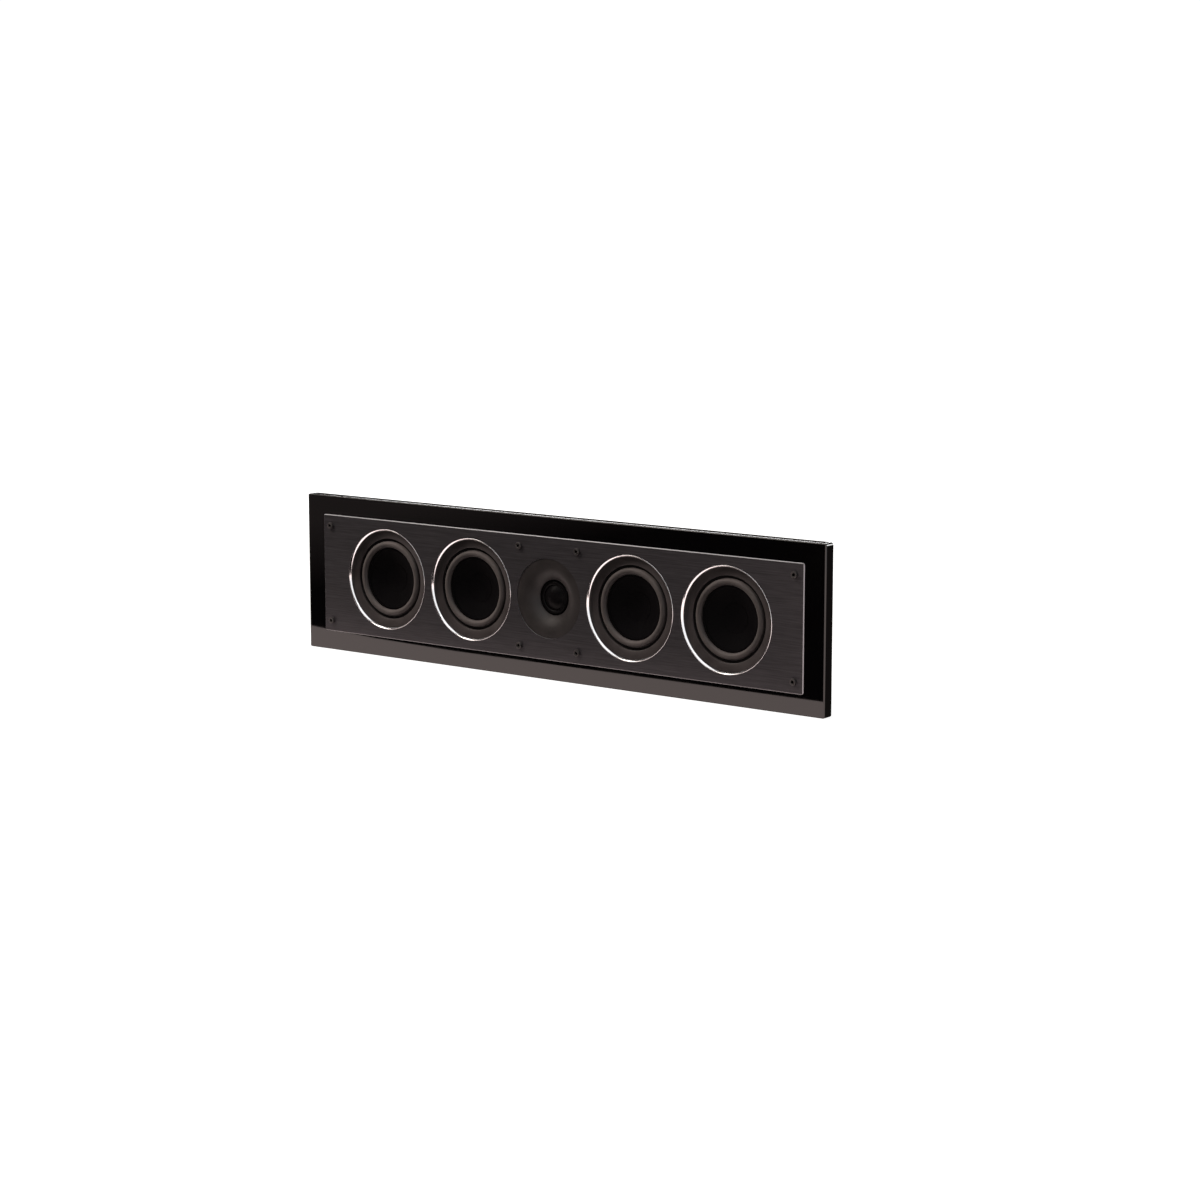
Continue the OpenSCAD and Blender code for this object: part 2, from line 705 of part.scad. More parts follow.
// Flat-headed screws that hold the woofer's flange
module woofer_screw() {
    tip = board_back - 3;
    rotate_extrude()
        polygon([[0, tip], [wood_screw_r, tip + 2], [wood_screw_r, flange_face - woofer_head_t],
                 [wood_head_r, flange_face], [0, flange_face]]);
}

// Depth of the waveguide's face at a radius
function guide_z(r) = let (s = (r - throat_r) / (guide_r - throat_r))
    guide_face - guide_depth * pow(1 - s, guide_curl);

module waveguide() {
    steps = 18;
    lip = 1.2;
    rs = [for (i = [0 : steps]) throat_r + (guide_r - lip - throat_r) * i / steps];
    seat_r = guide_r - guide_seat_w - slip;
    back_rs = [for (i = [0 : steps]) seat_r - (seat_r - throat_r - 1.6) * i / steps];
    color("#242122") upright() {
        rotate_extrude()
            polygon(concat([for (r = rs) [r, guide_z(r)]],
                           [[guide_r, guide_face], [guide_r, guide_back], [seat_r, guide_back]],
                           [for (r = back_rs) [r, min(guide_back, guide_z(r) - guide_wall)]],
                           [[throat_r + 1.6, dome_seat], [throat_r, dome_seat]]));
        difference() {
            on_circle(tweeter_bolt_r, 3, 90) bore(3.4, dome_seat - dome_wall, guide_z(tweeter_bolt_r) - 1);
            on_circle(tweeter_bolt_r, 3, 90) bore(small_screw_r + close, 0, dome_seat + 3);
        }
    }
}

// Soft dome and its roll, pressed as one piece of coated cloth
module tweeter_dome() {
    sphere_r = (dome_r * dome_r + dome_h * dome_h) / (2 * dome_h);
    roll_mid = dome_r + dome_roll_r - dome_wall / 2;
    color("#17161a") upright() rotate_extrude() {
        intersection() {
            translate([0, dome_seat + dome_h - sphere_r]) difference() {
                circle(sphere_r);
                circle(sphere_r - dome_wall);
            }
            translate([0, dome_seat - dome_wall]) square([dome_r, dome_h + 2 * dome_wall]);
        }
        intersection() {
            translate([roll_mid, dome_seat - dome_wall / 2]) difference() {
                circle(dome_roll_r);
                circle(dome_roll_r - dome_wall);
            }
            translate([0, dome_seat - dome_wall / 2]) square([dome_flange_r, 2 * dome_roll_r]);
        }
        translate([roll_mid + dome_roll_r - dome_wall, dome_seat - dome_wall])
            square([dome_flange_r - roll_mid - dome_roll_r + dome_wall, dome_wall]);
        translate([dome_r - dome_wall, dome_seat - dome_wall]) square([2 * dome_wall, dome_wall]);
    }
}

module tweeter_voice_coil() {
    color("#b87333") upright()
        ring(dome_r + 0.3, dome_r - 0.1, pot_face + 0.5, dome_seat - dome_wall);
}

module tweeter_top_plate() {
    color("#8a8a8e") upright() difference() {
        ring(tweeter_plate_r, tweeter_gap_r, pot_face, tweeter_plate_face);
        on_circle(tweeter_bolt_r, 3, 90) bore(small_screw_r + close, pot_face - far_out, guide_face);
    }
}

module tweeter_pot() {
    back = pot_face - pot_len;
    color("#77777b") upright() rotate_extrude()
        polygon([[0, back], [pot_r - 1, back], [pot_r, back + 1], [pot_r, pot_face],
                 [pot_r - pot_wall, pot_face], [pot_r - pot_wall, back + 4], [0, back + 4]]);
}

module tweeter_magnet() {
    back = pot_face - pot_len + 4;
    color("#55565a") upright() rotate_extrude()
        polygon([[0, back], [slug_r, back], [slug_r, pot_face + 0.6],
                 [slug_r + 0.7, pot_face + 0.6], [slug_r + 0.7, tweeter_plate_face],
                 [0, tweeter_plate_face]]);
}

module tweeter_screws() {
    color("#9a9a9e") upright() on_circle(tweeter_bolt_r, 3, 90)
        pan_screw(small_screw_r, small_head_r, tweeter_head_t, pot_face, tweeter_screw_len);
}

module crossover_board() {
    color("#1f5a36") upright() difference() {
        translate([0, crossover_y, crossover_z + crossover_t / 2])
            cube([crossover_w, crossover_h, crossover_t], center = true);
        at_crossover_corners() bore(small_screw_r + close, crossover_z - far_out, 2 * crossover_z);
    }
}

// Air-core coils: one lies flat, the other stands on its edge
module crossover_coils() {
    face = crossover_z + crossover_t;
    color("#a8562a") upright() {
        translate([flat_coil_x, crossover_y, 0])
            ring(flat_coil[0], flat_coil[1], face, face + flat_coil[2]);
        translate([upright_coil_x, crossover_y + upright_coil_y, face + upright_coil[0]])
            rotate([0, 90, 0])
                ring(upright_coil[0], upright_coil[1], -upright_coil[2] / 2, upright_coil[2] / 2);
    }
}

module crossover_capacitors() {
    face = crossover_z + crossover_t;
    color("#c9b24a") upright() for (y = capacitor_ys)
        translate([capacitor_x, crossover_y + y, face + capacitor_r]) rotate([0, 90, 0])
            cylinder(r = capacitor_r, h = capacitor_len, center = true);
}

module crossover_resistors() {
    face = crossover_z + crossover_t;
    color("#d8d4c8") upright() for (y = resistor_ys)
        translate([resistor_x, crossover_y + y, face + resistor_side / 2])
            cube([resistor_len, resistor_side, resistor_side], center = true);
}

module terminal_cup() {
    color("#131315") upright() difference() {
        translate([0, recess_y, 0]) difference() {
            union() {
                linear_extrude(cup_flange_t) cup_flange_outline(0);
                linear_extrude(cup_floor + cup_wall) terminal_opening(cup_wall);
            }
            translate([0, 0, -far_out]) linear_extrude(cup_floor + far_out) terminal_opening(0);
            for (s = [-1, 1]) translate([s * post_span / 2, 0, 0])
                bore(stud_r + close, cup_floor - far_out, cup_floor + 2 * cup_wall);
        }
        at_cup_screws() flat_screw_hole();
        translate([-channel_w / 2, recess_y - recess_h / 2 - cup_flange - far_out, -far_out])
            cube([channel_w, cup_flange + 2 * far_out, channel_d + far_out]);
    }
}

// Gilt studs with their bases, each with a cross hole for bare wire
module binding_posts() {
    color("#c9a04a") upright() at_posts() difference() {
        rotate_extrude()
            polygon([[0, stud_tip], [stud_r - 0.4, stud_tip], [stud_r, stud_tip + 0.4],
                     [stud_r, washer_back], [post_base_r, washer_back], [post_base_r, cup_floor],
                     [stud_r, cup_floor], [stud_r, cup_floor + cup_wall + stud_tail],
                     [0, cup_floor + cup_wall + stud_tail]]);
        bore(plug_r, stud_tip - far_out, stud_tip + plug_depth);
        translate([0, 0, washer_back - wire_hole_r - 0.2]) rotate([90, 0, 0])
            cylinder(r = wire_hole_r, h = 4 * stud_r, center = true);
    }
}

module post_nuts() {
    color("#b9b9bd") upright() at_posts() difference() {
        translate([0, 0, cup_floor + cup_wall]) cylinder(r = nut_r, h = nut_t, $fn = 6);
        bore(stud_r + close, cup_floor, cup_floor + cup_wall + nut_t + far_out);
    }
}

module post_washer() { ring(washer_r, stud_r + close, cap_back, washer_back); }

// Cap with a grooved grip; it runs on the stud's thread
module post_cap() {
    grip_from = cap_tip + 2.8;
    grip_to = cap_back - 0.8;
    difference() {
        union() {
            bevelled_ring(cap_r - 0.8, cap_tip, grip_from, 0.8);
            translate([0, 0, grip_from]) linear_extrude(grip_to - grip_from) difference() {
                circle(cap_r);
                on_circle(cap_r + 0.5, cap_grooves) circle(1);
            }
            ring(cap_r - 0.8, stud_r + close, grip_to, cap_back);
        }
        bore(stud_r + close, cap_tip - far_out, cap_back + far_out);
    }
}

// Solid collar whose near edge is bevelled
module bevelled_ring(r, from, to, bevel) {
    rotate_extrude()
        polygon([[0, from], [r - bevel, from], [r, from + bevel], [r, to], [0, to]]);
}

module at_red_post() { translate([post_span / 2, recess_y, 0]) children(); }

module at_black_post() { translate([-post_span / 2, recess_y, 0]) children(); }

// Steel plates let into the back, each with a keyhole whose slot points up
module keyhole_plates() {
    color("#a9abae") upright() at_hangers() difference() {
        translate([0, 0, hanger_t / 2]) cube([hanger_w, hanger_h, hanger_t], center = true);
        translate([0, -5, 0]) {
            bore(keyhole_r, -far_out, hanger_t + far_out);
            translate([-keyslot_r, 0, -far_out]) cube([2 * keyslot_r, keyslot_rise, hanger_t + 2 * far_out]);
            translate([0, keyslot_rise, 0]) bore(keyslot_r, -far_out, hanger_t + far_out);
        }
        for (s = [-1, 1]) translate([0, s * hanger_screw_y, 0]) flat_screw_hole();
    }
}

module bracket_inserts() {
    color("#b5923f") upright() at_inserts() ring(insert_r + insert_wall, insert_r, 0, insert_len - 0.5);
}

module wall_pads() {
    color("#1b1b1b") upright() at_pads() bore(pad_r, -pad_proud, pad_sink);
}

module cabinet_screws() {
    color("#303034") upright() at_cabinet_screws()
        pan_screw(wood_screw_r, wood_head_r, 2.4, well_floor, cabinet_screw_len);
}

// Screws of the terminal cup, the hanging plates and the crossover board
module small_screws() {
    color("#8f9094") upright() {
        at_cup_screws() flat_screw(9);
        at_hangers() for (s = [-1, 1]) translate([0, s * hanger_screw_y, 0]) flat_screw(8);
        at_crossover_corners() translate([0, 0, 2 * (crossover_z + crossover_t)]) mirror([0, 0, 1])
            pan_screw(small_screw_r, small_head_r, 1.2, crossover_z + crossover_t, 5);
    }
}

module damping_foam() {
    color("#5d5f63") upright() for (s = [-1, 1])
        translate([s * (cabinet_w / 2 - cabinet_wall - foam_gap - foam_w / 2), 0,
                   cabinet_wall + foam_gap + foam_t / 2])
            cube([foam_w, foam_h, foam_t], center = true);
}

front_board();
brushed_plate();
rear_cabinet();
cabinet_gasket();
grille_sockets();
upright() at_woofer(1) chrome_ring();  // woofer_1_chrome_ring
upright() at_woofer(2) chrome_ring();  // woofer_2_chrome_ring
upright() at_woofer(3) chrome_ring();  // woofer_3_chrome_ring
upright() at_woofer(4) chrome_ring();  // woofer_4_chrome_ring
upright() at_woofer(1) trim_ring();  // woofer_1_trim_ring
upright() at_woofer(2) trim_ring();  // woofer_2_trim_ring
upright() at_woofer(3) trim_ring();  // woofer_3_trim_ring
upright() at_woofer(4) trim_ring();  // woofer_4_trim_ring
upright() at_woofer(1) surround();  // woofer_1_surround
upright() at_woofer(2) surround();  // woofer_2_surround
upright() at_woofer(3) surround();  // woofer_3_surround
upright() at_woofer(4) surround();  // woofer_4_surround
upright() at_woofer(1) cone();  // woofer_1_cone
upright() at_woofer(2) cone();  // woofer_2_cone
upright() at_woofer(3) cone();  // woofer_3_cone
upright() at_woofer(4) cone();  // woofer_4_cone
upright() at_woofer(1) dust_cap();  // woofer_1_dust_cap
upright() at_woofer(2) dust_cap();  // woofer_2_dust_cap
upright() at_woofer(3) dust_cap();  // woofer_3_dust_cap
upright() at_woofer(4) dust_cap();  // woofer_4_dust_cap
upright() at_woofer(1) basket();  // woofer_1_basket
upright() at_woofer(2) basket();  // woofer_2_basket
upright() at_woofer(3) basket();  // woofer_3_basket
upright() at_woofer(4) basket();  // woofer_4_basket
color("#b87333") upright() all_woofers() voice_coil();  // woofer_voice_coils
color("#b48a4a") upright() all_woofers() spider();  // woofer_spiders
color("#85858a") upright() all_woofers() ring(motor_seat_r, gap_r, magnet_face, motor_face);  // woofer_top_plates
color("#3c3c40") upright() all_woofers() ring(magnet_r, magnet_hole_r, magnet_back, magnet_face);  // woofer_magnets
color("#85858a") upright() all_woofers() pole_plate();  // woofer_pole_plates
color("#2c2c30") upright() all_woofers() on_circle(woofer_bolt_r, 4, 45) woofer_screw();  // woofer_screws
waveguide();
tweeter_dome();
tweeter_voice_coil();
tweeter_top_plate();
tweeter_magnet();
tweeter_pot();
tweeter_screws();
crossover_board();
crossover_coils();
crossover_capacitors();
crossover_resistors();
terminal_cup();
binding_posts();
post_nuts();
color("#c9a04a") upright() at_red_post() post_washer();  // red_post_washer
color("#c9a04a") upright() at_black_post() post_washer();  // black_post_washer
color("#a01a1c") upright() at_red_post() post_cap();  // red_post_cap
color("#161618") upright() at_black_post() post_cap();  // black_post_cap
keyhole_plates();
bracket_inserts();
wall_pads();
cabinet_screws();
small_screws();
damping_foam();
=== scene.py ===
import json
import math

import bmesh
import bpy
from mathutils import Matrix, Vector


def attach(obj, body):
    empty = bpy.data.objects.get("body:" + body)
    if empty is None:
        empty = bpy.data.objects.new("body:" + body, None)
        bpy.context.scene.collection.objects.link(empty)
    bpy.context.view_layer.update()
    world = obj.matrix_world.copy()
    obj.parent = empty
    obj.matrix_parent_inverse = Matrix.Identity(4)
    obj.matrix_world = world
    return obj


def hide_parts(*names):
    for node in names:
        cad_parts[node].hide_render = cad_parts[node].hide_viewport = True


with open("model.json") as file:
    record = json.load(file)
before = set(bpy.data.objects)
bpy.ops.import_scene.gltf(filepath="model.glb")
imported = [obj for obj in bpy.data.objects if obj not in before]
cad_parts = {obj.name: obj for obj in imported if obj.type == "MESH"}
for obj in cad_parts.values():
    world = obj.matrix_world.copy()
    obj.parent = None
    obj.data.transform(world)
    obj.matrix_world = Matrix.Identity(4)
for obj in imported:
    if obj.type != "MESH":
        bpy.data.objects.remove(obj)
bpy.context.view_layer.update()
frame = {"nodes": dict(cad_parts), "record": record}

nodes = frame["nodes"]
scene = bpy.context.scene
scene.view_settings.view_transform = "Standard"
scene.view_settings.look = "None"
mm = 0.001
fullTurn = 2 * math.pi
midRange = (0.3, 0.7)  # where most of a noise texture's values lie

# camera, fitted to the photograph
cameraView = {
    "place": (1.8421, -2.3667, 0.4637),  # m, to the right of the speaker and above it
    "turn": 37.412,                      # degrees to the left of +Y
    "tilt": -8.932,                      # degrees below level
    "lens": 82.54, "sensor": 36,         # mm
    "clip": (0.05, 60),                  # m
}
cameraData = bpy.data.cameras.new("photoCamera")
cameraData.lens = cameraView["lens"]
cameraData.sensor_width = cameraView["sensor"]
cameraData.dof.use_dof = False
cameraData.clip_start, cameraData.clip_end = cameraView["clip"]
camera = bpy.data.objects.new("photoCamera", cameraData)
camera.location = cameraView["place"]
camera.rotation_euler = (math.radians(90 + cameraView["tilt"]), 0,
                         math.radians(cameraView["turn"]))
scene.collection.objects.link(camera)
scene.camera = camera


def toLinear(hexColour):  # sRGB hex to the linear colour that shaders read
    parts = [int(hexColour[i:i + 2], 16) / 255 for i in (1, 3, 5)]
    return tuple(c / 12.92 if c <= 0.04045 else ((c + 0.055) / 1.055) ** 2.4
                 for c in parts) + (1.0,)


def addNode(tree, kind, inputs=None, **settings):
    # inputs: a socket's name or number, and the value or the output that goes in
    node = tree.nodes.new(kind)
    for setting, value in settings.items():
        setattr(node, setting, value)
    for socket, value in (inputs or {}).items():
        if isinstance(value, bpy.types.NodeSocket):
            tree.links.new(value, node.inputs[socket])
        else:
            node.inputs[socket].default_value = value
    return node


def newMaterial(name, sockets):
    material = bpy.data.materials.new(name)
    material.use_nodes = True
    tree = material.node_tree
    shader = tree.nodes["Principled BSDF"]
    for socket, value in sockets.items():
        shader.inputs[socket].default_value = toLinear(value) if isinstance(value, str) else value
    place = addNode(tree, "ShaderNodeTexCoord").outputs["Object"]
    return material, tree, shader, place


def connect(tree, shader, **sockets):
    for socket, value in sockets.items():
        tree.links.new(value, shader.inputs[socket.replace("_", " ")])


def stretched(tree, place, sizes):  # object coordinates divided by a size in mm along each axis
    return addNode(tree, "ShaderNodeMapping",
                   {"Vector": place, "Scale": [1 / (s * mm) for s in sizes]}).outputs[0]


def noise(tree, place, sizes, detail, roughness=0.5):
    return addNode(tree, "ShaderNodeTexNoise",
                   {"Vector": stretched(tree, place, sizes), "Scale": 1.0, "Detail": detail,
                    "Roughness": roughness}).outputs["Fac"]


def spread(tree, value, low, high, fromLow, fromHigh):  # a pattern mapped onto a range
    return addNode(tree, "ShaderNodeMapRange",
                   {"Value": value, "From Min": fromLow, "From Max": fromHigh,
                    "To Min": low, "To Max": high}).outputs["Result"]


def blendColours(tree, value, low, high, positions=midRange):
    ramp = addNode(tree, "ShaderNodeValToRGB", {"Fac": value})
    for element, position, colour in zip(ramp.color_ramp.elements, positions, (low, high)):
        element.position, element.color = position, toLinear(colour)
    return ramp.outputs["Color"]


def bumped(tree, height, depth, strength):  # depth in mm
    return addNode(tree, "ShaderNodeBump", {"Height": height, "Strength": strength,
                                            "Distance": depth * mm}).outputs[0]


def moulded(name, sockets, colours, grain, depth, kind="noise"):
    # moulded plastic or rubber: the tool's texture as bump, and patches a little duller
    look = {"detail": 3.0, "smooth": 0.6, "patch": 18, "patchDetail": 4.0, "gloss": 0.06,
            "bump": 0.6}
    material, tree, shader, place = newMaterial(name, sockets)
    if kind == "pebble":
        pattern = addNode(tree, "ShaderNodeTexVoronoi",
                          {"Vector": stretched(tree, place, [grain] * 3), "Scale": 1.0,
                           "Smoothness": look["smooth"]}, feature="SMOOTH_F1").outputs["Distance"]
    else:
        pattern = noise(tree, place, [grain] * 3, look["detail"])
    patches = noise(tree, place, [look["patch"]] * 3, look["patchDetail"])
    rough, gloss = sockets["Roughness"], look["gloss"]
    connect(tree, shader, Base_Color=blendColours(tree, patches, *colours),
            Roughness=spread(tree, patches, rough - gloss, rough + gloss, *midRange),
            Normal=bumped(tree, pattern, depth, look["bump"]))
    return material


def pianoLacquer():
    # black polyester lacquer, sprayed and polished: a mirror with a very faint orange peel
    look = {"colour": "#060506", "peel": 14, "peelDetail": 1.0, "peelDepth": 0.003, "haze": 70,
            "hazeDetail": 5.0, "rough": (0.025, 0.07), "hazeRange": (0.3, 0.75)}
    material, tree, shader, place = newMaterial(
        "pianoLacquer", {"Base Color": look["colour"], "IOR": 1.54, "Roughness": 0.04})
    peel = noise(tree, place, [look["peel"]] * 3, look["peelDetail"])
    haze = noise(tree, place, [look["haze"]] * 3, look["hazeDetail"])
    connect(tree, shader, Roughness=spread(tree, haze, *look["rough"], *look["hazeRange"]),
            Normal=bumped(tree, peel, look["peelDepth"], 1.0))
    return material


def brushedAluminium():
    # aluminium sheet, brushed lengthways and anodised dark: long fine streaks along X
    look = {
        "fine": (26, 26, 0.4), "fineDetail": 3.0, "fineRoughness": 0.65,
        "broad": (60, 60, 1.3), "broadDetail": 2.0, "broadShare": 0.4,
        "dark": "#262527", "light": "#454246", "positions": (0.32, 0.68), "metal": 0.5,
        "depth": 0.006, "bump": 0.7, "rough": (0.44, 0.54),
        "cut": "#a2a2a6", "cutRough": 0.3,  # the bright bare edge left by the diamond tool, also a painted highlight
        "cutFrom": (-0.95, -0.8),           # how far the face has turned away from the front
    }
    material, tree, shader, place = newMaterial("brushedAnodisedAluminium",
                                                {"Metallic": look["metal"]})
    fine = noise(tree, place, look["fine"], look["fineDetail"], look["fineRoughness"])
    broad = noise(tree, place, look["broad"], look["broadDetail"])
    both = addNode(tree, "ShaderNodeMix",
                   {"Factor": look["broadShare"], "A": fine, "B": broad}).outputs["Result"]
    normal = addNode(tree, "ShaderNodeNewGeometry").outputs["True Normal"]
    facing = addNode(tree, "ShaderNodeSeparateXYZ", {0: normal}).outputs["Y"]
    # 0 on the flat front, 1 on the chamfer and the sides
    chamfer = spread(tree, facing, 0, 1, *look["cutFrom"])
    streaks = blendColours(tree, both, look["dark"], look["light"], look["positions"])
    # the chamfer and the sides take the bright edge colour: bare cut metal, and partly a painted
    # highlight
    colour = addNode(tree, "ShaderNodeMix", {0: chamfer, 6: streaks, 7: toLinear(look["cut"])},
                     data_type="RGBA")
    rough = addNode(tree, "ShaderNodeMix",
                    {"Factor": chamfer, "A": spread(tree, fine, *look["rough"], *midRange),
                     "B": look["cutRough"]})
    connect(tree, shader, Base_Color=colour.outputs[2], Roughness=rough.outputs[0],
            Normal=bumped(tree, fine, look["depth"], look["bump"]))
    return material


def platedMetal(name, colour, roughness, grain=1.2, depth=0.004):
    # bright plating over a smooth part: faint cloudy polish marks
    look = {"detail": 4.0, "swirl": 0.05, "least": 0.02, "bump": 0.5}
    material, tree, shader, place = newMaterial(
        name, {"Base Color": colour, "Metallic": 1.0, "Roughness": roughness})
    cloud = noise(tree, place, [grain] * 3, look["detail"])
    smoothest = max(look["least"], roughness - look["swirl"])
    connect(tree, shader,
            Roughness=spread(tree, cloud, smoothest, roughness + look["swirl"], *midRange),
            Normal=bumped(tree, cloud, depth, look["bump"]))
    return material


def woven(name, colours, roughness, thread, depth, sockets=None):
    # cloth: two sets of threads crossing, each as wide as thread in mm
    look = {"unit": 6.283, "bump": 0.7}  # unit: how many stripes the wave texture has in 1
    material, tree, shader, place = newMaterial(name, {"Roughness": roughness, **(sockets or {})})
    waves = [addNode(tree, "ShaderNodeTexWave",
                     {"Vector": stretched(tree, place, [thread * look["unit"]] * 3),
                      "Scale": 1.0}, bands_direction=axis).outputs["Fac"] for axis in ("X", "Z")]
    weave = addNode(tree, "ShaderNodeMath", dict(enumerate(waves)),
                    operation="MULTIPLY").outputs[0]
    connect(tree, shader, Base_Color=blendColours(tree, weave, *colours),
            Normal=bumped(tree, weave, depth, look["bump"]))
    return material


materials = {
    "gloss_lacquer": pianoLacquer(),
    "brushed_aluminium": brushedAluminium(),
    "cabinet_plastic": moulded("texturedAbs", {"Roughness": 0.5, "IOR": 1.54},
                               ("#171619", "#1a191c"), 0.9, 0.05, kind="pebble"),
    "closed_foam": moulded("closedCellFoam", {"Roughness": 0.9},
                           ("#222224", "#303033"), 0.7, 0.12, kind="pebble"),
    "socket_rubber": moulded("socketRubber", {"Roughness": 0.34, "IOR": 1.5},
                             ("#2f2c2c", "#3a3636"), 0.5, 0.01),
    "chrome_plating": platedMetal("polishedChromePlate", "#e8e8ea", 0.15),
    "trim_plastic": moulded("satinTrimPlastic", {"Roughness": 0.45, "Specular IOR Level": 0.25},
                            ("#2f2a2a", "#393434"), 0.5, 0.012),
    "surround_rubber": moulded("butylRubber", {"Roughness": 0.5, "Specular IOR Level": 0.22},
                               ("#474241", "#544e4d"), 0.6, 0.015),
    "cone_paper": moulded("coatedPaperPulp", {"Roughness": 0.75, "Specular IOR Level": 0.05},
                          ("#040304", "#080708"), 1.4, 0.05),
    "cast_basket": moulded("paintedDiecast", {"Roughness": 0.45},
                           ("#0f0f10", "#17171a"), 0.8, 0.03),
    "copper_winding": platedMetal("enamelledCopper", "#b3602f", 0.3),
    "spider_cloth": woven("resinCloth", ("#8f6d38", "#c79a50"), 0.8, 0.45, 0.1),
    "plated_steel": platedMetal("zincPlatedSteel", "#9fa0a4", 0.32, 2.5, 0.006),
    "ferrite": moulded("sinteredFerrite", {"Roughness": 0.6},
                       ("#2b2b2e", "#38383c"), 0.5, 0.03),
    "black_screws": platedMetal("blackZincSteel", "#2a2a2d", 0.35),
    "bright_screws": platedMetal("brightZincSteel", "#b4b5b8", 0.28),
    "waveguide_plastic": moulded("satinWaveguidePlastic",
                                 {"Roughness": 0.5, "Specular IOR Level": 0.4},
                                 ("#1f1c1c", "#262222"), 0.5, 0.012),
    "dome_cloth": woven("coatedSilk", ("#070607", "#0e0c0e"), 0.4, 0.3, 0.02,
                        {"Specular IOR Level": 0.08}),
    "circuit_board": moulded("solderMask", {"Roughness": 0.35},
                             ("#14502c", "#1d6238"), 3.0, 0.02),
    "capacitor_film": moulded("wrappedFilm", {"Roughness": 0.35},
                              ("#a89034", "#c0a848"), 3.0, 0.02),
    "resistor_ceramic": moulded("cementCeramic", {"Roughness": 0.75},
                                ("#cdc8bc", "#ded9cd"), 0.6, 0.04),
    "cup_plastic": moulded("mouldedCupAbs", {"Roughness": 0.4, "IOR": 1.54},
                           ("#121214", "#19191c"), 0.6, 0.02),
    "gilt_brass": platedMetal("giltBrass", "#d9a94c", 0.18),
    "red_plastic": moulded("clearRedPolycarbonate",
                           {"Roughness": 0.16, "IOR": 1.58, "Coat Weight": 0.4},
                           ("#8a0f12", "#a31518"), 2.0, 0.005),
    "black_plastic": moulded("blackPolycarbonate",
                             {"Roughness": 0.16, "IOR": 1.58, "Coat Weight": 0.4},
                             ("#0d0d0f", "#141416"), 2.0, 0.005),
    # black pad rubber, also used for the painted-shade ring in each woofer's groove
    "pad_rubber": moulded("padRubberAndGrooveShade", {"Roughness": 0.8, "Specular IOR Level": 0.1},
                          ("#0c0b0b", "#131212"), 0.5, 0.03),
    "damping_foam": moulded("openCellFoam", {"Roughness": 0.95},
                            ("#4c4e52", "#66686d"), 1.2, 0.4, kind="pebble"),
}
for row in frame["record"]["subparts"]:
    cadMesh = nodes[row["node"]].data
    cadMesh.materials.clear()
    cadMesh.materials.append(materials[row["material_slot"]])
print("materials:", len(materials))


def aimed(degrees):  # cosine and sine
    return math.cos(math.radians(degrees)), math.sin(math.radians(degrees))


def arc(centre, radius, fromAngle, toAngle, steps):  # points on a circle, angles in degrees
    angles = [fromAngle + (toAngle - fromAngle) * i / steps for i in range(steps + 1)]
    return [tuple(c + radius * f for c, f in zip(centre, aimed(a))) for a in angles]


def evenly(start, end, steps):  # radii from start to end
    return [start + (end - start) * i / steps for i in range(steps + 1)]


def turned(name, outline, centreX, slot, stands, steps=180, soften=0.0, softenFrom=25):
    # outline: (radius, distance out of the wall) in mm, spun round the driver's axis
    mesh = bmesh.new()
    ends = [mesh.verts.new(((centreX + r) * mm, -out * mm, 0)) for r, out in outline]
    sides = [mesh.edges.new(pair) for pair in zip(ends, ends[1:] + ends[:1])]
    bmesh.ops.spin(mesh, geom=ends + sides, cent=(centreX * mm, 0, 0), axis=(0, 1, 0),
                   angle=fullTurn, steps=steps, use_merge=True)
    bmesh.ops.remove_doubles(mesh, verts=mesh.verts, dist=0.002 * mm)
    bmesh.ops.dissolve_degenerate(mesh, edges=mesh.edges, dist=0.001 * mm)
    bmesh.ops.recalc_face_normals(mesh, faces=mesh.faces)
    if soften:
        corners = [e for e in mesh.edges if len(e.link_faces) == 2
                   and math.degrees(e.calc_face_angle()) > softenFrom]
        bmesh.ops.bevel(mesh, geom=corners, offset=soften * mm, segments=3, affect="EDGES",
                        profile=0.5, material=-1, clamp_overlap=True)
    return finishPiece(name, mesh, slot, stands)


def finishPiece(name, mesh, slot, stands, body="root", sharpFrom=35):
    data = bpy.data.meshes.new(name)
    mesh.to_mesh(data)
    mesh.free()
    data.shade_smooth()
    data.set_sharp_from_angle(angle=math.radians(sharpFrom))
    data.materials.append(materials[slot])
    piece = bpy.data.objects.new(name, data)
    scene.collection.objects.link(piece)
    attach(piece, body)
    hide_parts(*stands)
    return piece


plateFace = 51.2
woofer = {
    "places": (-235.3, -110.1, 110.1, 235.3),
    "chromeR": 57.5, "chromeToeR": 55.3, "chromeToe": 48.2, "chromeWall": 1.3,
    "chromeBack": 44.5, "chromeProud": 0.3,
    "lipR": 0.35, "slopeR": 6.5, "toeRound": 0.3,
    "slope": (128, 148),  # degrees in the outline
    "trimR": 46.1, "trimToe": 45.0, "trimWall": 1.3, "trimBend": 1.1, "trimEdge": 0.37,
    "trimDrop": 0.2, "trimSoften": 0.18, "slack": 0.05,
    "rollR": 39.4, "rollSection": 3.7, "rubber": 0.8, "rubberFace": 43.2, "rubberOuter": 48.85,
    "lip": 1.9,
    # the thin black ring in the groove round the roll is painted shade: the groove there is only
    # shaded by the trim and the roll
    "shadeRingGap": 0.15, "shadeRingHeight": 0.3, "shadeRingSlope": 0.2, "shadeRingSlack": 0.02,
    "coneR": 35.6, "coneWall": 0.7, "coneDepth": 11, "coneFlare": 0.15, "coneLean": 0.6,
    "coneStart": 0.3, "coneEnd": 2.6, "coneRim": 2.2, "coneRimBack": 2, "coilR": 12.5,
    "capOverlap": 3.5, "capDip": 2.6, "capWall": 0.35, "capEdge": 0.5,
}


